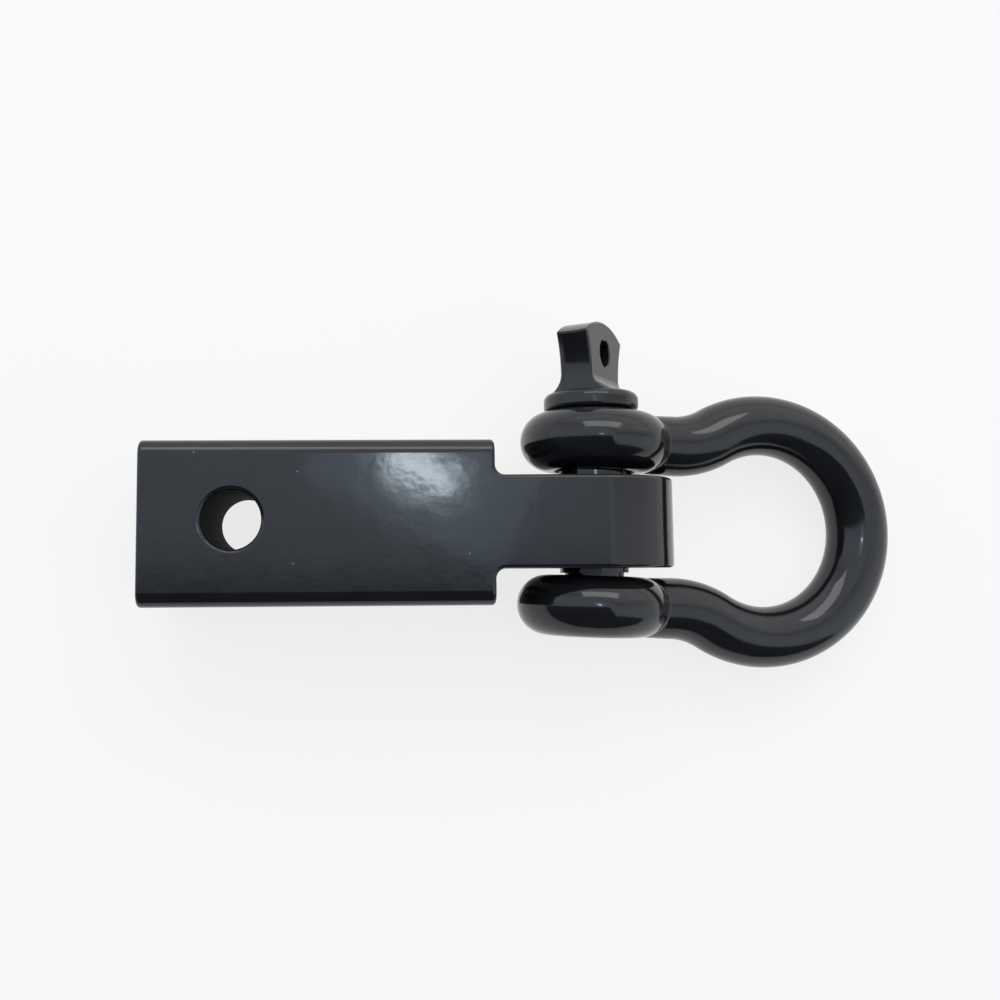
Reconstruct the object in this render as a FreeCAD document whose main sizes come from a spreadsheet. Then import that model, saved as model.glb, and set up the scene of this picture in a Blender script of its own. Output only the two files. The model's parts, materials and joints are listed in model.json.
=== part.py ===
"""Hitch receiver shackle mount: a solid square shank with a tongue, a bow shackle and its screw pin.

Millimetres, +Z up, as it lies on a bench. The origin is the centre of the receiver pin bore, +X runs
along the shank towards the shackle, and +Z runs along that bore.
"""
import FreeCAD, Part
import math
import os
import Sketcher

OUTPUT_FOLDER = "parts"
HALF = 0.5
TOLERANCE = 0.01
RIGHT_ANGLE = math.pi / 2
HALF_TURN = 180
V = FreeCAD.Vector

# Driving dimensions, in millimetres and degrees
DIMENSIONS = (
    # Shank: square bar and its receiver pin bore
    ("bar_side", 50.8),
    ("bar_corner", 4.5),
    ("bore_to_butt", 28.3),
    ("bore_to_shoulder", 80.0),
    ("receiver_bore", 18.2),
    ("bore_offset", 0.9),
    ("bore_mouth_round", 1.2),
    ("edge_round", 1.2),
    # Tongue: cut down from the bar, with a full round end
    ("tongue_width", 28.6),
    ("bore_to_pin", 114.6),
    ("shoulder_fillet", 3.0),
    ("tongue_pin_play", 0.3),
    ("tongue_bore_chamfer", 0.8),
    # Bow: forged round wire
    ("jaw_width", 33.9),
    ("bow_inside", 51.2),
    ("inside_length", 74.1),
    ("arm_root", 16.4),
    ("arm_wire", 20.0),
    ("shoulder_wire", 20.1),
    ("crown_wire", 19.8),
    ("arm_bend", 28.6),
    ("ear_diameter", 48.5),
    ("ear_thickness", 19.3),
    ("ear_inner_round", 9.5),
    ("ear_outer_round", 9.6),
    ("crease_fillet", 2.0),
    ("arm_outset", 0.2),
    ("ear_pin_play", 1.5),
    ("ear_bore_chamfer", 0.7),
    # How the shackle sits on the tongue: its shift along the pin, its skew, and its crown on the bench
    ("bow_shift", 0.2),
    ("bow_skew", 2.1),
    ("floor_gap", 0.02),
    # Pin: plain shank, threaded end, rounded collar and flattened eye head
    ("pin_diameter", 22.1),
    ("thread_root", 19.0),
    ("thread_play", 0.1),
    ("thread_runout", 1.0),
    ("tip_recess", 1.0),
    ("tip_chamfer", 1.5),
    ("collar_diameter", 30.8),
    ("collar_height", 5.9),
    ("collar_under_round", 1.3),
    ("collar_top_round", 2.6),
    ("collar_seat_gap", 0.03),
    ("neck_foot_inset", 1.7),
    ("waist_inset", 0.3),
    ("waist_height", 10.5),
    ("head_diameter", 33.4),
    ("head_height", 29.1),
    ("head_corner_height", 24.2),
    ("head_thickness", 10.7),
    ("flat_root_round", 5.6),
    ("eye_height", 18.9),
    ("eye_hole", 8.8),
    ("eye_chamfer", 0.4),
    ("head_edge_chamfer", 0.5),
    ("head_turn", 57.5),
    ("cut_margin", 1.0),
)

# Sizes and places that follow from the driving dimensions
DERIVED = (
    ("bar_half", "bar_side / 2"),
    ("receiver_bore_radius", "receiver_bore / 2"),
    ("tongue_half", "tongue_width / 2"),
    ("pin_radius", "pin_diameter / 2"),
    ("tongue_bore_radius", "pin_radius + tongue_pin_play"),
    ("jaw_half", "jaw_width / 2"),
    ("ear_radius", "ear_diameter / 2"),
    ("ear_face", "jaw_half + ear_thickness"),
    ("ear_inner_flat", "ear_radius - ear_inner_round"),
    ("ear_outer_flat", "ear_radius - ear_outer_round"),
    ("ear_inner_edge", "jaw_half + ear_inner_round"),
    ("ear_outer_edge", "ear_face - ear_outer_round"),
    ("arm_line", "jaw_half + ear_thickness / 2 + arm_outset"),
    ("arm_root_radius", "arm_root / 2"),
    ("arm_wire_radius", "arm_wire / 2"),
    ("shoulder_wire_radius", "shoulder_wire / 2"),
    ("crown_wire_radius", "crown_wire / 2"),
    ("bow_radius", "(bow_inside + crown_wire) / 2"),
    ("bow_centre", "inside_length + pin_radius - bow_inside / 2"),
    ("bow_reach", "bow_centre + bow_radius"),
    ("arm_straight", "bow_centre - sqrt((arm_bend + bow_radius)^2 - (arm_line + arm_bend)^2)"),
    ("free_bore_radius", "pin_radius + ear_pin_play"),
    ("tapped_bore_radius", "pin_radius + thread_play"),
    ("skew_angle", "bow_skew * 1deg"),
    ("crown_reach", "bow_centre * cos(skew_angle) + bow_radius"),
    ("droop_angle", "asin((bar_half - floor_gap - crown_wire_radius) / crown_reach)"),
    ("pin_tip", "ear_face - bow_shift - tip_recess"),
    ("tip_chamfer_end", "pin_tip - tip_chamfer"),
    ("thread_radius", "thread_root / 2"),
    ("tip_radius", "thread_radius - tip_chamfer"),
    ("thread_end", "jaw_half - bow_shift - thread_runout"),
    ("collar_radius", "collar_diameter / 2"),
    ("collar_bearing", "collar_radius - collar_under_round"),
    ("seat_lift", "ear_face / cos(skew_angle) + collar_bearing * tan(skew_angle)"),
    ("collar_seat", "bow_shift + seat_lift + collar_seat_gap"),
    ("collar_low_edge", "collar_seat + collar_under_round"),
    ("collar_top", "collar_seat + collar_height"),
    ("collar_high_edge", "collar_top - collar_top_round"),
    ("collar_top_radius", "collar_radius - collar_top_round"),
    ("head_radius", "head_diameter / 2"),
    ("neck_foot_radius", "collar_radius - neck_foot_inset"),
    ("neck_foot_run", "neck_foot_radius - collar_top_radius"),
    ("neck_foot_level", "collar_high_edge + sqrt(collar_top_round^2 - neck_foot_run^2)"),
    ("waist_radius", "min(head_radius; neck_foot_radius) - waist_inset"),
    ("waist_level", "collar_seat + waist_height"),
    ("corner_level", "collar_seat + head_corner_height"),
    ("flare_level", "corner_level + cut_margin"),
    ("head_top", "collar_seat + head_height"),
    ("low_flare", "neck_foot_radius - waist_radius"),
    ("low_neck_radius", "(low_flare^2 + (waist_level - neck_foot_level)^2) / (2 * low_flare)"),
    ("high_flare", "head_radius - waist_radius"),
    ("high_neck_radius", "(high_flare^2 + (flare_level - waist_level)^2) / (2 * high_flare)"),
    ("head_half", "head_thickness / 2"),
    ("flat_half", "sqrt(head_radius^2 - head_half^2)"),
    ("top_rise", "head_height - head_corner_height"),
    ("top_radius", "(flat_half^2 + top_rise^2) / (2 * top_rise)"),
    ("cut_half", "head_radius + cut_margin"),
    ("cut_top", "head_top + cut_margin"),
    ("cut_shoulder", "head_top - top_radius + sqrt(top_radius^2 - cut_half^2)"),
    ("flat_level", "neck_foot_level + flat_root_round"),
    ("flat_root_edge", "head_half + flat_root_round"),
    ("eye_level", "collar_seat + eye_height"),
    ("eye_radius", "eye_hole / 2"),
)

document = FreeCAD.newDocument("ReceiverShackleMount")
sheet = document.addObject("Spreadsheet::Sheet", "Sizes")
cells = [(alias, str(value)) for alias, value in DIMENSIONS]
cells += [(alias, "=" + formula) for alias, formula in DERIVED]
for row, (alias, content) in enumerate(cells, start=1):
    sheet.set(f"A{row}", alias)
    sheet.set(f"B{row}", content)
    sheet.setAlias(f"B{row}", alias)
    document.recompute()


def size(alias):
    """Value of one named size, as a plain number."""
    return float(sheet.get(alias))


# Sketcher's numbers for the ends of an edge, its centre, the two axes and the origin
START, END, CENTRE = range(1, 4)
ACROSS, UPRIGHT = -1, -2
ORIGIN = (ACROSS, START)


def new_body(label):
    """An empty body with its own label."""
    body = document.addObject("PartDesign::Body", label)
    body.Label = label
    return body


def new_sketch(body, name, plane):
    """A sketch attached to one of the body's own origin planes."""
    sketch = body.newObject("Sketcher::SketchObject", name)
    plane_object = next(item for item in body.Origin.OriginFeatures if item.Role == plane)
    sketch.AttachmentSupport = [(plane_object, "")]
    sketch.MapMode = "FlatFace"
    return sketch


def add_line(sketch, start, end):
    """A straight edge between two points of the sketch plane."""
    return sketch.addGeometry(Part.LineSegment(V(*start, 0), V(*end, 0)), False)


def add_arc(sketch, centre, radius, first, last):
    """An arc that runs anticlockwise from the first angle to the last, in radians."""
    circle = Part.Circle(V(*centre, 0), V(0, 0, 1), radius)
    return sketch.addGeometry(Part.ArcOfCircle(circle, first, last), False)


def add_circle(sketch, centre, radius):
    """A full circle."""
    return sketch.addGeometry(Part.Circle(V(*centre, 0), V(0, 0, 1), radius), False)


def constrain(sketch, *terms):
    """A constraint without a size."""
    return sketch.addConstraint(Sketcher.Constraint(*terms))


def dimension(sketch, kind, *ends, sign=1, rule):
    """A sized constraint that reads its size from the sheet, negated where the sign says so."""
    index = sketch.addConstraint(Sketcher.Constraint(kind, *ends, sign * size(rule)))
    name = f"{rule}_{index}"
    sketch.renameConstraint(index, name)
    sketch.setExpression(f"Constraints.{name}", f"{sign} * Sizes.{rule}")
    return index


def place_point(sketch, edge, end, across, up):
    """Fix one end of an edge by two named sizes; a leading minus negates, an empty name is zero."""
    for rule, kind, axis in ((across, "DistanceX", UPRIGHT), (up, "DistanceY", ACROSS)):
        if not rule:
            constrain(sketch, "PointOnObject", edge, end, axis)
            continue
        sign = -1 if rule.startswith("-") else 1
        dimension(sketch, kind, *ORIGIN, edge, end, sign=sign, rule=rule.lstrip("-"))


def place_value(rule):
    """Number behind a signed size name."""
    if not rule:
        return 0.0
    return -size(rule[1:]) if rule.startswith("-") else size(rule)


def draw_outline(sketch, corners):
    """Closed outline through named corners: (across, up, bend), a bend being (radius, turn) or None."""
    points = [(place_value(across), place_value(up)) for across, up, bend in corners]
    edges = []
    for (start, end, (across, up, bend)) in zip(points, points[1:] + points[:1], corners):
        if bend is None:
            edges.append((add_line(sketch, start, end), START, END))
            continue
        rule, turn = bend
        radius = size(rule)
        chord = (end[0] - start[0], end[1] - start[1])
        length = math.hypot(*chord)
        rise = math.sqrt(max(radius ** 2 - (length * HALF) ** 2, 0.0))
        centre = (
            (start[0] + end[0]) * HALF - turn * rise * chord[1] / length,
            (start[1] + end[1]) * HALF + turn * rise * chord[0] / length,
        )
        first, last = (start, end) if turn > 0 else (end, start)
        angles = [math.atan2(point[1] - centre[1], point[0] - centre[0]) for point in (first, last)]
        arc = add_arc(sketch, centre, radius, *angles)
        edges.append((arc, START, END) if turn > 0 else (arc, END, START))
        dimension(sketch, "Radius", arc, rule=rule)
    for (edge, first, last), (following, next_first, next_last) in zip(edges, edges[1:] + edges[:1]):
        constrain(sketch, "Coincident", edge, last, following, next_first)
    for (edge, first, last), (across, up, bend) in zip(edges, corners):
        place_point(sketch, edge, first, across, up)
    return sketch


def draw_circle(body, name, plane, across, up, radius, half_turn=False):
    """A sketch with one circle at named sizes, on its plane as it is or turned half round in it."""
    sketch = new_sketch(body, name, plane)
    if half_turn:
        sketch.AttachmentOffset = FreeCAD.Placement(V(), FreeCAD.Rotation(V(0, 0, 1), HALF_TURN))
    circle = add_circle(sketch, (place_value(across), place_value(up)), size(radius))
    place_point(sketch, circle, CENTRE, across, up)
    dimension(sketch, "Radius", circle, rule=radius)
    return sketch


def edges_where(shape, test):
    """Names of the edges whose middle point and curve pass a test."""
    names = []
    for number, edge in enumerate(shape.Edges, start=1):
        if edge.Degenerated:
            continue
        middle = edge.valueAt((edge.FirstParameter + edge.LastParameter) * HALF)
        if test(edge, middle):
            names.append(f"Edge{number}")
    return names


def near(first, second):
    """Whether two lengths agree."""
    return abs(first - second) < TOLERANCE


def is_line_along(edge, direction):
    """Whether an edge is straight and parallel to a direction."""
    if not isinstance(edge.Curve, Part.Line):
        return False
    return near(abs(edge.Curve.Direction.dot(direction)), 1.0)


def is_circle_of(edge, radius):
    """Whether an edge lies on a circle of this radius."""
    return isinstance(edge.Curve, Part.Circle) and near(edge.Curve.Radius, radius)


def dress_edges(body, kind, name, test, rule):
    """Round or chamfer the edges that pass the test, by a named size."""
    document.recompute()
    base = body.Tip
    names = edges_where(base.Shape, test)
    if not names:
        raise RuntimeError(f"{name}: no edge passes the test")
    feature = body.newObject(f"PartDesign::{kind}", name)
    feature.Base = (base, names)
    feature.setExpression("Radius" if kind == "Fillet" else "Size", f"Sizes.{rule}")
    return feature


def pad(body, name, sketch, rule, symmetric=False):
    """Extrude a sketch."""
    feature = body.newObject("PartDesign::Pad", name)
    feature.Profile = sketch
    feature.SideType = "Symmetric" if symmetric else "One side"
    feature.setExpression("Length", rule)
    return feature


def cut(body, name, sketch, reverse=None):
    """Cut a sketch through the body: both ways, or one way only where reverse is given."""
    document.recompute()
    volume = body.Tip.Shape.Volume
    feature = body.newObject("PartDesign::Pocket", name)
    feature.Profile = sketch
    feature.Type = "ThroughAll"
    feature.SideType = "Symmetric" if reverse is None else "One side"
    feature.Reversed = bool(reverse)
    document.recompute()
    if feature.Shape.Volume > volume - TOLERANCE:
        raise RuntimeError(f"{name}: nothing was cut")
    return feature


def revolve(body, name, sketch):
    """Turn a sketch a full round about the sketch's upright axis."""
    feature = body.newObject("PartDesign::Revolution", name)
    feature.Profile = sketch
    feature.ReferenceAxis = (sketch, ["V_Axis"])
    return feature


# Shank: a square bar with rounded long edges, stepped down to a tongue with a full round end
def draw_tongue_outline(body):
    """The tongue from the side: as deep as the bar, with its end rounded about the shackle pin."""
    sketch = new_sketch(body, "TongueOutline", "XZ_Plane")
    reach = size("bore_to_pin")
    half = size("bar_half")
    top = add_line(sketch, (0, half), (reach, half))
    end_round = add_arc(sketch, (reach, 0), half, -RIGHT_ANGLE, RIGHT_ANGLE)
    bottom = add_line(sketch, (reach, -half), (0, -half))
    root = add_line(sketch, (0, -half), (0, half))
    constrain(sketch, "Tangent", top, END, end_round, END)
    constrain(sketch, "Tangent", end_round, START, bottom, START)
    constrain(sketch, "Coincident", bottom, END, root, START)
    constrain(sketch, "Coincident", root, END, top, START)
    constrain(sketch, "Horizontal", top)
    constrain(sketch, "Horizontal", bottom)
    constrain(sketch, "PointOnObject", root, START, UPRIGHT)
    constrain(sketch, "PointOnObject", root, END, UPRIGHT)
    dimension(sketch, "Radius", end_round, rule="bar_half")
    place_point(sketch, end_round, CENTRE, "bore_to_pin", "")
    return sketch


def build_shank():
    """The shank with its tongue and both cross bores."""
    body = new_body("receiver_shank")
    section = new_sketch(body, "BarSection", "YZ_Plane")
    draw_outline(
        section,
        (
            ("-bar_half", "-bar_half", None),
            ("bar_half", "-bar_half", None),
            ("bar_half", "bar_half", None),
            ("-bar_half", "bar_half", None),
        ),
    )
    section.setExpression("AttachmentOffset.Base.z", "-Sizes.bore_to_butt")
    pad(body, "Bar", section, "Sizes.bore_to_butt + Sizes.bore_to_shoulder")

    def on_long_edge(edge, middle):
        return is_line_along(edge, V(1, 0, 0))

    dress_edges(body, "Fillet", "LongEdges", on_long_edge, "bar_corner")
    pad(body, "Tongue", draw_tongue_outline(body), "Sizes.tongue_width", symmetric=True)

    def in_step_corner(edge, middle):
        at_shoulder = near(middle.x, size("bore_to_shoulder"))
        at_tongue = near(abs(middle.y), size("tongue_half"))
        return is_line_along(edge, V(0, 0, 1)) and at_shoulder and at_tongue

    dress_edges(body, "Fillet", "ShoulderFillets", in_step_corner, "shoulder_fillet")

    def on_outline(edge, middle):
        on_end = near(middle.x, -size("bore_to_butt"))
        on_shoulder = near(middle.x, size("bore_to_shoulder")) and abs(middle.y) > size("tongue_half")
        on_tongue_side = near(abs(middle.y), size("tongue_half"))
        in_step = near(abs(middle.y), size("tongue_half") + size("shoulder_fillet"))
        on_step_curve = is_circle_of(edge, size("shoulder_fillet"))
        inner_line = is_line_along(edge, V(0, 0, 1)) and (in_step or on_tongue_side)
        return (on_end or on_shoulder or on_tongue_side or on_step_curve) and not inner_line

    dress_edges(body, "Fillet", "OutlineEdges", on_outline, "edge_round")

    bore = draw_circle(body, "ReceiverBore", "XY_Plane", "", "bore_offset", "receiver_bore_radius")
    cut(body, "ReceiverPinBore", bore)

    def on_bore_mouth(edge, middle):
        return is_circle_of(edge, size("receiver_bore_radius"))

    dress_edges(body, "Fillet", "BoreMouths", on_bore_mouth, "bore_mouth_round")
    pin_bore = draw_circle(body, "PinBore", "XZ_Plane", "bore_to_pin", "", "tongue_bore_radius")
    cut(body, "ShacklePinBore", pin_bore)

    def on_pin_bore_mouth(edge, middle):
        return is_circle_of(edge, size("tongue_bore_radius"))

    dress_edges(body, "Chamfer", "PinBoreMouths", on_pin_bore_mouth, "tongue_bore_chamfer")
    body.setExpression("Placement.Base.y", "-Sizes.bore_offset")
    return body


# Bow: in its own frame, with the pin axis along Y through the origin and the crown along +X
def draw_bow_line(body):
    """Centre line of the wire: straight out of each ear, bent outward, then round the crown."""
    bend = size("arm_bend")
    rise = size("arm_line")
    crown_centre = size("bow_centre")
    straight = size("arm_straight")
    lean = math.atan2(rise + bend, crown_centre - straight)
    sketch = new_sketch(body, "BowLine", "XY_Plane")
    upper_arm = add_line(sketch, (0, rise), (straight, rise))
    upper_bend = add_arc(sketch, (straight, rise + bend), bend, -RIGHT_ANGLE, -lean)
    crown = add_arc(sketch, (crown_centre, 0), size("bow_radius"), lean - math.pi, math.pi - lean)
    lower_bend = add_arc(sketch, (straight, -rise - bend), bend, lean, RIGHT_ANGLE)
    lower_arm = add_line(sketch, (straight, -rise), (0, -rise))
    constrain(sketch, "Tangent", upper_arm, END, upper_bend, START)
    constrain(sketch, "Tangent", upper_bend, END, crown, END)
    constrain(sketch, "Tangent", crown, START, lower_bend, START)
    constrain(sketch, "Tangent", lower_bend, END, lower_arm, START)
    constrain(sketch, "Horizontal", upper_arm)
    constrain(sketch, "Horizontal", lower_arm)
    constrain(sketch, "Equal", upper_bend, lower_bend)
    dimension(sketch, "Radius", upper_bend, rule="arm_bend")
    dimension(sketch, "Radius", crown, rule="bow_radius")
    place_point(sketch, crown, CENTRE, "bow_centre", "")
    place_point(sketch, upper_arm, START, "", "arm_line")
    place_point(sketch, lower_arm, END, "", "-arm_line")
    return sketch


def draw_ear(body, name, side):
    """Half section of one ear, turned later about the pin axis."""
    turn = 1 if side == "" else -1
    sketch = new_sketch(body, name, "XY_Plane")
    return draw_outline(
        sketch,
        (
            ("", side + "jaw_half", None),
            ("ear_inner_flat", side + "jaw_half", ("ear_inner_round", turn)),
            ("ear_radius", side + "ear_inner_edge", None),
            ("ear_radius", side + "ear_outer_edge", ("ear_outer_round", turn)),
            ("ear_outer_flat", side + "ear_face", None),
            ("", side + "ear_face", None),
        ),
    )


def build_bow():
    """The forged bow with its two ears."""
    body = new_body("shackle_bow")
    spine = draw_bow_line(body)

    # Both arms take the same sections, the lower ones turned over so that the wire has no twist
    def arm_sections(side, half_turn):
        root = draw_circle(
            body, side + "Root", "YZ_Plane", "arm_line", "", "arm_root_radius", half_turn
        )
        arm = draw_circle(
            body, side + "Arm", "YZ_Plane", "arm_line", "", "arm_wire_radius", half_turn
        )
        shoulder = draw_circle(
            body, side + "Shoulder", "YZ_Plane", "bow_radius", "", "shoulder_wire_radius", half_turn
        )
        arm.setExpression("AttachmentOffset.Base.z", "Sizes.arm_straight")
        shoulder.setExpression("AttachmentOffset.Base.z", "Sizes.bow_centre")
        return [root, arm, shoulder]

    root, *upper = arm_sections("Upper", False)
    lower = arm_sections("Lower", True)
    crown = draw_circle(body, "Crown", "XZ_Plane", "bow_reach", "", "crown_wire_radius")
    document.recompute()
    wire = body.newObject("PartDesign::AdditivePipe", "Wire")
    wire.Profile = root
    wire.Spine = spine
    wire.Transformation = "Multisection"
    wire.Sections = upper + [crown] + lower[::-1]
    document.recompute()
    revolve(body, "UpperEar", draw_ear(body, "UpperEarSection", ""))
    document.recompute()
    revolve(body, "LowerEar", draw_ear(body, "LowerEarSection", "-"))

    def on_crease(edge, middle):
        past_ear = middle.x > size("ear_inner_flat") and middle.x < size("ear_radius") + TOLERANCE
        off_seam = not near(middle.z, 0.0)
        return past_ear and off_seam

    dress_edges(body, "Fillet", "Creases", on_crease, "crease_fillet")

    free_bore = draw_circle(body, "FreeBore", "XZ_Plane", "", "", "free_bore_radius")
    cut(body, "UpperEarBore", free_bore, reverse=False)
    tapped_bore = draw_circle(body, "TappedBore", "XZ_Plane", "", "", "tapped_bore_radius")
    cut(body, "LowerEarBore", tapped_bore, reverse=True)

    def on_bore_mouth(edge, middle):
        return is_circle_of(edge, size("free_bore_radius")) or is_circle_of(edge, size("tapped_bore_radius"))

    dress_edges(body, "Chamfer", "BoreMouths", on_bore_mouth, "ear_bore_chamfer")
    place = "vector(Sizes.bore_to_pin; Sizes.bow_shift - Sizes.bore_offset; 0)"
    droop = "rotation(vector(0; 1; 0); Sizes.droop_angle)"
    skew = "rotation(vector(0; 0; 1); -Sizes.skew_angle)"
    body.setExpression("Placement", f"placement({place}; {droop} * {skew})")
    return body


# Pin: in its own frame, along Y, with the head's flats facing along Z
def build_pin():
    """The screw pin with its collar and flattened eye head."""
    body = new_body("shackle_pin")
    section = new_sketch(body, "PinSection", "XY_Plane")
    draw_outline(
        section,
        (
            ("", "-pin_tip", None),
            ("tip_radius", "-pin_tip", None),
            ("thread_radius", "-tip_chamfer_end", None),
            ("thread_radius", "-thread_end", None),
            ("pin_radius", "-thread_end", None),
            ("pin_radius", "collar_seat", None),
            ("collar_bearing", "collar_seat", ("collar_under_round", 1)),
            ("collar_radius", "collar_low_edge", None),
            ("collar_radius", "collar_high_edge", ("collar_top_round", 1)),
            ("neck_foot_radius", "neck_foot_level", ("low_neck_radius", -1)),
            ("waist_radius", "waist_level", ("high_neck_radius", -1)),
            ("head_radius", "flare_level", None),
            ("head_radius", "head_top", None),
            ("", "head_top", None),
        ),
    )
    revolve(body, "Round", section)

    for name, side, turn in (("NearFlat", "", 1), ("FarFlat", "-", -1)):
        flat = new_sketch(body, name + "Outline", "YZ_Plane")
        draw_outline(
            flat,
            (
                ("flat_level", side + "head_half", None),
                ("cut_top", side + "head_half", None),
                ("cut_top", side + "cut_half", None),
                ("neck_foot_level", side + "cut_half", None),
                ("neck_foot_level", side + "flat_root_edge", ("flat_root_round", turn)),
            ),
        )
        cut(body, name, flat)

    top = new_sketch(body, "TopOutline", "XY_Plane")
    draw_outline(
        top,
        (
            ("cut_half", "cut_shoulder", ("top_radius", 1)),
            ("-cut_half", "cut_shoulder", None),
            ("-cut_half", "cut_top", None),
            ("cut_half", "cut_top", None),
        ),
    )
    cut(body, "RoundTop", top)

    def on_head_edge(edge, middle):
        return middle.y > size("flat_level") + TOLERANCE

    dress_edges(body, "Chamfer", "HeadEdges", on_head_edge, "head_edge_chamfer")
    cut(body, "Eye", draw_circle(body, "EyeOutline", "XY_Plane", "", "eye_level", "eye_radius"))

    def on_eye_mouth(edge, middle):
        return is_circle_of(edge, size("eye_radius"))

    dress_edges(body, "Chamfer", "EyeMouths", on_eye_mouth, "eye_chamfer")
    place = "vector(Sizes.bore_to_pin; -Sizes.bore_offset; 0)"
    turn = "rotation(vector(0; 1; 0); Sizes.head_turn)"
    body.setExpression("Placement", f"placement({place}; {turn})")
    return body


bodies = [build_shank(), build_bow(), build_pin()]
document.recompute()

for item in document.Objects:
    if "Invalid" in item.State or "Error" in item.State:
        raise RuntimeError(f"{item.Name}: {item.State}")
for body in bodies:
    if body.Shape.isNull() or not body.Shape.isValid() or len(body.Shape.Solids) != 1:
        raise RuntimeError(f"{body.Label}: not one valid solid")

os.makedirs(OUTPUT_FOLDER, exist_ok=True)
for body in bodies:
    body.Shape.exportStep(f"{OUTPUT_FOLDER}/{body.Label}.step")
    box = body.Shape.BoundBox
    print(f"{body.Label}: {body.Shape.Volume:.0f} mm3, x {box.XMin:.2f} to {box.XMax:.2f}, "
          f"y {box.YMin:.2f} to {box.YMax:.2f}, z {box.ZMin:.2f} to {box.ZMax:.2f}")
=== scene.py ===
"""Looks of the hitch receiver shackle mount: gloss black coating, the pin's thread, studio and camera."""
import json
import math

import bpy
from mathutils import Matrix, Vector


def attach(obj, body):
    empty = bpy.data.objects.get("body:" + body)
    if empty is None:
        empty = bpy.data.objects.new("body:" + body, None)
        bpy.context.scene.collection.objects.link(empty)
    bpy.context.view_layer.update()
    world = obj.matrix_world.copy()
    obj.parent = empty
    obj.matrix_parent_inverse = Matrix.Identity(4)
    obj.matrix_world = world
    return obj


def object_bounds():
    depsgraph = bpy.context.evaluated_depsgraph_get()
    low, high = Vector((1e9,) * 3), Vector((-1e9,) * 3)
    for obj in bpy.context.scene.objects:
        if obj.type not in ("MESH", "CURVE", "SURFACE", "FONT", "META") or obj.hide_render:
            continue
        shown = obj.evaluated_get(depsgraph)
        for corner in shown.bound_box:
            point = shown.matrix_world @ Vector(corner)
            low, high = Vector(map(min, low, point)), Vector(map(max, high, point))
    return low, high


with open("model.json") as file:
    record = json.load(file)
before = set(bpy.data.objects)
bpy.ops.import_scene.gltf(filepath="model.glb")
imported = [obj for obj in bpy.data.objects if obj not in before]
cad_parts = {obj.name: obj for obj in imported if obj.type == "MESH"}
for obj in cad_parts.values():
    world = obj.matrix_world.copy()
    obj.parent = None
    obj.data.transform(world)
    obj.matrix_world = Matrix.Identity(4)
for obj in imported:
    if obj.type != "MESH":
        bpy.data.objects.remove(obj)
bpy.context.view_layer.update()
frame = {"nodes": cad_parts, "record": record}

scene = bpy.context.scene
nodes = frame["nodes"]
mounts = {mount["name"]: mount for mount in frame["record"]["mounts"]}
joints = {joint["name"]: joint for joint in frame["record"]["behaviour"]["joints"]}

# Pin thread, in metres: its levels are along the pin, from the swing joint's place on the pin's axis
PIN_X, PIN_Y, PIN_Z = joints["shackle_swing"]["pos_m"]
THREAD_ROOT = 0.0095
THREAD_CREST = 0.01085
THREAD_PITCH = 0.0025
THREAD_LOW = -0.0340
THREAD_HIGH = -0.0168
THREAD_SINK = 0.0002
FOOT_SHARE = 0.46
CREST_SHARE = 0.10
TURN_STEPS = 72
FADE_STEPS = TURN_STEPS / 2

# Parts of a piece with a finish of their own: the hole's wall and the head's two flats
BORE_RADIUS = mounts["receiver_pin_bore"]["dims"]["r_mm"] / 1000
BORE_MARGIN = 0.0002
HEAD_FACING = tuple(mounts["pin_eye"]["axis"])
SQUARE_TO = 0.985

# Coatings: the forged pieces share their colours. A range is where a texture goes from one end to the other
COAT_IOR = 1.5
SKY_REFLECTION_RANGE = (0.34, 0.68)
SMEAR_RANGE = (0.35, 0.72)
FILM_RANGE = (0.3, 0.7)
# Dark and pale ends of a random cloudy tone; the pale, bluish end is partly a painted reflection of a
# cloudy sky
FORGED_DARK = (0.0070, 0.0074, 0.0082)
FORGED_PALE = (0.0110, 0.0118, 0.0135)
DUST_COLOUR = (0.16, 0.17, 0.18, 1)
NIB_SIZE = 0.11
# Brown of the head's matte flats, partly a painted reflection of the surroundings
FLAT_REFLECTION_TINT = (0.064, 0.046, 0.042)
FILM_SHADE = 0.75
FILM_ROUGHNESS = 0.42
BORE_ROUGHNESS = 0.75
BORE_SHINE = 0.06
PLAIN_SHINE = 0.5

# Floor: its half width in metres, and the share of plain white that the camera and reflections see in it
FLOOR_REACH = 3.0
FLOOR_WHITE = 0.80

# Camera, from a fit to the photo's outlines: pixels, a turn as a rotation vector, and a shift
FOCAL_PX = 1108.953
CENTRE_PX = (410.218, 471.323)
FIT_TURN = (-0.09290872, -0.03295658, -0.00524927)
FIT_SHIFT_MM = (-54.81221, 17.69781, 357.95054)
FIT_ORIGIN_MM = (0.0, 0.9, 0.0)
SENSOR_MM = 36.0
IMAGE_PX = 1000.0
NEAR_CLIP = 0.01

# Sockets of a Mix node by number, because its names repeat
FACTOR = 0
VALUE_MIX = {"first": 2, "second": 3, "result": 0}
COLOUR_MIX = {"first": 6, "second": 7, "result": 2}


def feed(tree, socket, value):
    """Join an output to an input socket, or set the input to a plain value."""
    if isinstance(value, bpy.types.NodeSocket):
        tree.links.new(value, socket)
    else:
        socket.default_value = value


def node(tree, kind, inputs, **settings):
    """Add a shader node with its settings, and feed its inputs by name or number."""
    made = tree.nodes.new(kind)
    for key, value in settings.items():
        setattr(made, key, value)
    for socket, value in inputs.items():
        feed(tree, made.inputs[socket], value)
    return made


def noise(tree, place, scale, detail, **inputs):
    """Noise over the piece; the scale is in features per metre."""
    sockets = {"Vector": place, "Scale": scale, "Detail": detail, **inputs}
    return node(tree, "ShaderNodeTexNoise", sockets).outputs["Fac"]


def maths(tree, operation, *values, clamp=False):
    """Result of one Math node."""
    made = node(tree, "ShaderNodeMath", dict(enumerate(values)), operation=operation, use_clamp=clamp)
    return made.outputs[0]


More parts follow.
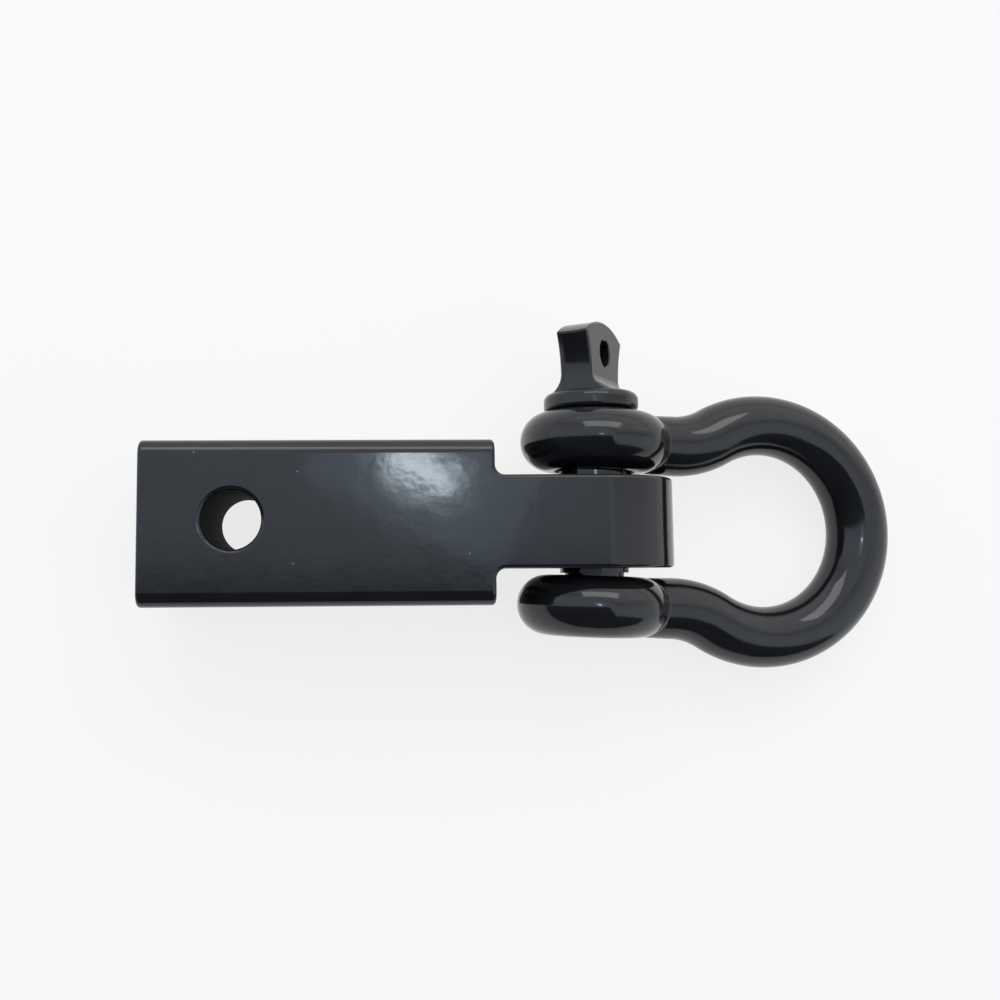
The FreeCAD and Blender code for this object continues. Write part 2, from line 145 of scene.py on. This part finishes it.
def vector_maths(tree, operation, result, *values):
    """Result of one Vector Math node."""
    made = node(tree, "ShaderNodeVectorMath", dict(enumerate(values)), operation=operation)
    return made.outputs[result]


def remap(tree, value, source, target=(0.0, 1.0), smooth=False):
    """Value moved from one range into another."""
    kind = "SMOOTHSTEP" if smooth else "LINEAR"
    ends = dict(zip(("From Min", "From Max", "To Min", "To Max"), (*source, *target)))
    made = node(tree, "ShaderNodeMapRange", {"Value": value, **ends}, interpolation_type=kind)
    return made.outputs["Result"]


def blend(tree, factor, first, second, data_type, sockets):
    """Result of one Mix node."""
    inputs = {FACTOR: factor, sockets["first"]: first, sockets["second"]: second}
    return node(tree, "ShaderNodeMix", inputs, data_type=data_type).outputs[sockets["result"]]


def blend_colour(tree, factor, first, second):
    """Mix of two colours."""
    return blend(tree, factor, first, second, "RGBA", COLOUR_MIX)


def blend_value(tree, factor, first, second):
    """Mix of two numbers."""
    return blend(tree, factor, first, second, "FLOAT", VALUE_MIX)


def ramp(tree, value, stops):
    """Colour of a value on a ramp of (position, colour) stops."""
    made = node(tree, "ShaderNodeValToRGB", {"Fac": value})
    elements = made.color_ramp.elements
    while len(elements) > 1:
        elements.remove(elements[-1])
    for number, (position, colour) in enumerate(stops):
        element = elements[0] if number == 0 else elements.new(position)
        element.position = position
        element.color = (*colour, 1)
    return made.outputs["Color"]


def bump(tree, height, depth, **inputs):
    """Normal of a surface that stands out by a height times a depth in metres."""
    sockets = {"Height": height, "Distance": depth, "Strength": 1.0, **inputs}
    return node(tree, "ShaderNodeBump", sockets).outputs["Normal"]


def new_material(name):
    """An empty material with its node tree and its shader."""
    material = bpy.data.materials.new(name)
    material.use_nodes = True
    tree = material.node_tree
    return material, tree, tree.nodes["Principled BSDF"]


def dust_nibs(tree, place, share):
    """1 on small round nibs in a share of the cells, and 0 elsewhere."""
    cells = node(tree, "ShaderNodeTexVoronoi", {"Vector": place, "Scale": 420.0})
    draw = node(tree, "ShaderNodeTexWhiteNoise", {"Vector": cells.outputs["Position"]})
    chosen = maths(tree, "GREATER_THAN", draw.outputs["Value"], 1.0 - share)
    spot = maths(tree, "LESS_THAN", cells.outputs["Distance"], NIB_SIZE)
    return maths(tree, "MULTIPLY", chosen, spot)


def coat(name, dark, pale, roughness, worn, peel_scale, peel_depth, wave_depth, dust):
    """Gloss black coating: a cloudy tone that varies at random and is partly a painted reflection of a
    cloudy sky, waves, orange peel, small nibs of dust and dull patches.
    """
    material, tree, shader = new_material(name)
    shader.inputs["Metallic"].default_value = 0.0
    shader.inputs["IOR"].default_value = COAT_IOR
    place = node(tree, "ShaderNodeTexCoord", {}).outputs["Object"]
    nibs = dust_nibs(tree, place, dust)

    # Random cloudy tone that also stands in for a painted reflection of a cloudy sky
    painted_sky_reflection = noise(tree, place, scale=34.0, detail=5.0, Roughness=0.6, Distortion=0.5)
    tone_and_sky_reflection = ramp(tree, painted_sky_reflection, zip(SKY_REFLECTION_RANGE, (dark, pale)))
    feed(tree, shader.inputs["Base Color"], blend_colour(tree, nibs, tone_and_sky_reflection, DUST_COLOUR))

    smear = noise(tree, place, scale=90.0, detail=6.0, Roughness=0.65)
    sheen = remap(tree, smear, SMEAR_RANGE, (roughness, roughness + worn))
    feed(tree, shader.inputs["Roughness"], sheen)

    peel = noise(tree, place, scale=peel_scale, detail=2.0, Roughness=0.45)
    wave = noise(tree, place, scale=95.0, detail=1.5)
    broad = bump(tree, wave, wave_depth)
    fine = bump(tree, maths(tree, "ADD", peel, nibs), peel_depth, Normal=broad)
    feed(tree, shader.inputs["Normal"], fine)
    return material


def repaint(material, socket_name, mask, value, mixer):
    """Put another value or colour over what feeds a shader socket, where the mask is 1."""
    tree = material.node_tree
    socket = tree.nodes["Principled BSDF"].inputs[socket_name]
    under = socket.links[0].from_socket
    feed(tree, socket, mixer(tree, mask, under, value))


def dull_bore(material, radius, roughness, shine):
    """A dull, dark wall in the hole round the Z axis."""
    tree = material.node_tree
    place = node(tree, "ShaderNodeTexCoord", {}).outputs["Object"]
    flat = vector_maths(tree, "MULTIPLY", "Vector", place, (1.0, 1.0, 0.0))
    inside = maths(tree, "LESS_THAN", vector_maths(tree, "LENGTH", "Value", flat), radius)
    repaint(material, "Roughness", inside, roughness, blend_value)
    level = remap(tree, inside, (0.0, 1.0), (PLAIN_SHINE, shine))
    feed(tree, tree.nodes["Principled BSDF"].inputs["Specular IOR Level"], level)


def dull_flats_painted_reflection(material, facing, tint, roughness):
    """A matte, slightly brown film on the faces square to one direction; its brown tint is partly a painted
    reflection of the surroundings.
    """
    tree = material.node_tree
    place = node(tree, "ShaderNodeTexCoord", {})
    aligned = vector_maths(tree, "DOT_PRODUCT", "Value", place.outputs["Normal"], facing)
    square = maths(tree, "GREATER_THAN", maths(tree, "ABSOLUTE", aligned), SQUARE_TO)
    grain = noise(tree, place.outputs["Object"], scale=260.0, detail=8.0)
    shaded = tuple(value * FILM_SHADE for value in tint)
    # Grainy brown tint, partly a painted reflection of the surroundings
    brown_tint_painted_reflection = ramp(tree, grain, zip(FILM_RANGE, (shaded, tint)))
    repaint(material, "Base Color", square, brown_tint_painted_reflection, blend_colour)
    repaint(material, "Roughness", square, roughness, blend_value)


def dress(name, material):
    """Give a CAD node one material of its own."""
    mesh = nodes[name].data
    mesh.materials.clear()
    mesh.materials.append(material)


shank_coat = coat(
    "shank_coat",
    # Ends of the cloudy tone; the pale, bluish end is partly a painted sky reflection
    dark=(0.0060, 0.0065, 0.0075),
    pale=(0.0100, 0.0110, 0.0140),
    roughness=0.07,
    worn=0.05,
    peel_scale=520.0,
    peel_depth=0.000008,
    wave_depth=0.00004,
    dust=0.006,
)
bow_coat = coat(
    "bow_coat",
    dark=FORGED_DARK,
    pale=FORGED_PALE,
    roughness=0.07,
    worn=0.05,
    peel_scale=430.0,
    peel_depth=0.000008,
    wave_depth=0.00012,
    dust=0.008,
)
pin_coat = coat(
    "pin_coat",
    dark=FORGED_DARK,
    pale=FORGED_PALE,
    roughness=0.08,
    worn=0.05,
    peel_scale=600.0,
    peel_depth=0.000008,
    wave_depth=0.00012,
    dust=0.008,
)
dull_bore(shank_coat, BORE_RADIUS + BORE_MARGIN, BORE_ROUGHNESS, BORE_SHINE)
dull_flats_painted_reflection(pin_coat, HEAD_FACING, FLAT_REFLECTION_TINT, FILM_ROUGHNESS)
dress("receiver_shank", shank_coat)
dress("shackle_bow", bow_coat)
dress("shackle_pin", pin_coat)


def thread_ring(step, count):
    """Corners of the thread's section at one step: foot, crest, crest, foot."""
    angle = 2 * math.pi * step / TURN_STEPS
    level = THREAD_LOW + THREAD_PITCH * step / TURN_STEPS
    fade = min(1.0, step / FADE_STEPS, (count - step) / FADE_STEPS)
    foot = THREAD_ROOT - THREAD_SINK
    crest = THREAD_ROOT + (THREAD_CREST - THREAD_ROOT) * fade
    section = ((-FOOT_SHARE, foot), (-CREST_SHARE, crest), (CREST_SHARE, crest), (FOOT_SHARE, foot))
    return [
        (
            PIN_X + radius * math.cos(angle),
            PIN_Y + level + along * THREAD_PITCH,
            PIN_Z + radius * math.sin(angle),
        )
        for along, radius in section
    ]


def thread_mesh():
    """Helical crest round the pin's threaded end, closed on all sides and sunk a little into the root."""
    count = int((THREAD_HIGH - THREAD_LOW) / THREAD_PITCH * TURN_STEPS)
    rings = [thread_ring(step, count) for step in range(count + 1)]
    size = len(rings[0])
    faces = []
    for step in range(count):
        low = step * size
        high = low + size
        for corner in range(size):
            following = (corner + 1) % size
            faces.append((low + corner, low + following, high + following, high + corner))
    faces.append(tuple(range(size))[::-1])
    faces.append(tuple(count * size + corner for corner in range(size)))
    mesh = bpy.data.meshes.new("pin_thread")
    mesh.from_pydata([corner for ring in rings for corner in ring], [], faces)
    mesh.update()
    return mesh


thread = bpy.data.objects.new("pin_thread", thread_mesh())
scene.collection.objects.link(thread)
thread.data.materials.append(pin_coat)
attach(thread, "pin")


def floor_material():
    """Pale matt floor. The camera, reflections and clear things see it nearly white, its shadows faint."""
    material, tree, surface = new_material("floor_pale")
    surface.inputs["Base Color"].default_value = (0.90, 0.90, 0.90, 1)
    surface.inputs["Roughness"].default_value = 0.9
    surface.inputs["Specular IOR Level"].default_value = 0.2
    white = node(tree, "ShaderNodeEmission", {"Strength": 1.0})
    rays = node(tree, "ShaderNodeLightPath", {}).outputs
    direct = maths(tree, "ADD", rays["Is Camera Ray"], rays["Is Glossy Ray"])
    seen = maths(tree, "ADD", direct, rays["Is Transmission Ray"], clamp=True)
    share = maths(tree, "MULTIPLY", seen, FLOOR_WHITE)
    mixed = node(tree, "ShaderNodeMixShader", {0: share, 1: surface.outputs[0], 2: white.outputs[0]})
    feed(tree, tree.nodes["Material Output"].inputs["Surface"], mixed.outputs[0])
    return material


def floor_mesh(level):
    """One square at a level."""
    mesh = bpy.data.meshes.new("floor")
    corners = [(x * FLOOR_REACH, y * FLOOR_REACH, level) for x, y in ((-1, -1), (1, -1), (1, 1), (-1, 1))]
    mesh.from_pydata(corners, [], [(0, 1, 2, 3)])
    return mesh


floor = bpy.data.objects.new("floor", floor_mesh(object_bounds()[0][2]))
scene.collection.objects.link(floor)
floor.data.materials.append(floor_material())

# Ceiling colours from the -Y side, through the zenith, to the +Y side
CEILING = (
    (0.00, (0.10, 0.10, 0.11)),
    (0.30, (0.05, 0.05, 0.06)),
    (0.482, (0.10, 0.11, 0.12)),
    (0.512, (0.86, 0.93, 1.05)),
    (0.60, (1.00, 1.10, 1.26)),
    (0.74, (1.00, 1.04, 1.10)),
    (0.84, (0.70, 0.73, 0.77)),
    (0.95, (1.20, 1.23, 1.27)),
)
HORIZON = (0.86, 0.87, 0.88, 1)
HORIZON_BAND = (0.05, 0.16)
BRIGHT_END = (0.22, 0.40)
BRIGHT_SHIFT = 0.50


def studio_world():
    """A soft cool ceiling, a dark side towards -Y that is narrower towards +X, and a pale horizon."""
    world = bpy.data.worlds.new("studio")
    world.use_nodes = True
    tree = world.node_tree
    place = node(tree, "ShaderNodeTexCoord", {}).outputs["Generated"]
    direction = node(tree, "ShaderNodeSeparateXYZ", {0: place}).outputs
    wider = remap(tree, direction["X"], BRIGHT_END, (0.0, BRIGHT_SHIFT), smooth=True)
    across = maths(tree, "ADD", direction["Y"], wider)
    ceiling = ramp(tree, remap(tree, across, (-1.0, 1.0)), CEILING)
    height = remap(tree, direction["Z"], HORIZON_BAND, smooth=True)
    background = tree.nodes["Background"]
    background.inputs["Strength"].default_value = 1.0
    feed(tree, background.inputs["Color"], blend_colour(tree, height, HORIZON, ceiling))
    return world


def panel(name, place, aim, width, depth, power, colour):
    """A soft rectangular lamp that faces a point."""
    data = bpy.data.lights.new(name, "AREA")
    data.shape = "RECTANGLE"
    data.size = width
    data.size_y = depth
    data.energy = power
    data.color = colour
    lamp = bpy.data.objects.new(name, data)
    scene.collection.objects.link(lamp)
    lamp.location = place
    direction = Vector(aim) - Vector(place)
    lamp.rotation_euler = direction.to_track_quat("-Z", "Y").to_euler()


scene.world = studio_world()
panel(
    "key",
    place=(0.2, 0.95, 0.95),
    aim=(0.1, 0, 0),
    width=1.2,
    depth=0.5,
    power=4.6,
    colour=(1.0, 1.0, 1.0),
)
panel(
    "sky_patch",
    place=(0.12, 0.14, 1.2),
    aim=(0.057, 0.02, 0.0),
    width=0.30,
    depth=0.20,
    power=0.16,
    colour=(0.55, 0.76, 1.0),
)
panel(
    "glint",
    place=(0.110, 0.125, 1.19),
    aim=(0.057, 0.0165, 0.0),
    width=0.10,
    depth=0.040,
    power=0.20,
    colour=(0.80, 0.92, 1.0),
)


def photo_camera():
    """The camera that the fit gives: the photo's view, centre and focal length."""
    data = bpy.data.cameras.new("camera")
    data.sensor_width = SENSOR_MM
    data.lens = FOCAL_PX * SENSOR_MM / IMAGE_PX
    data.shift_x = (IMAGE_PX / 2 - CENTRE_PX[0]) / IMAGE_PX
    data.shift_y = (CENTRE_PX[1] - IMAGE_PX / 2) / IMAGE_PX
    data.clip_start = NEAR_CLIP
    camera = bpy.data.objects.new("camera", data)
    turn = Vector(FIT_TURN)
    fit = Matrix.Rotation(turn.length, 3, turn.normalized())
    world_to_camera = fit @ Matrix(((1, 0, 0), (0, -1, 0), (0, 0, -1)))
    place = -(world_to_camera.transposed() @ Vector(FIT_SHIFT_MM)) - Vector(FIT_ORIGIN_MM)
    right, down, forward = (Vector(row) for row in world_to_camera)
    facing = Matrix((right, -down, -forward)).transposed()
    camera.matrix_world = Matrix.Translation(place / 1000) @ facing.to_4x4()
    return camera


camera = photo_camera()
scene.collection.objects.link(camera)
scene.camera = camera
scene.view_settings.view_transform = "Standard"
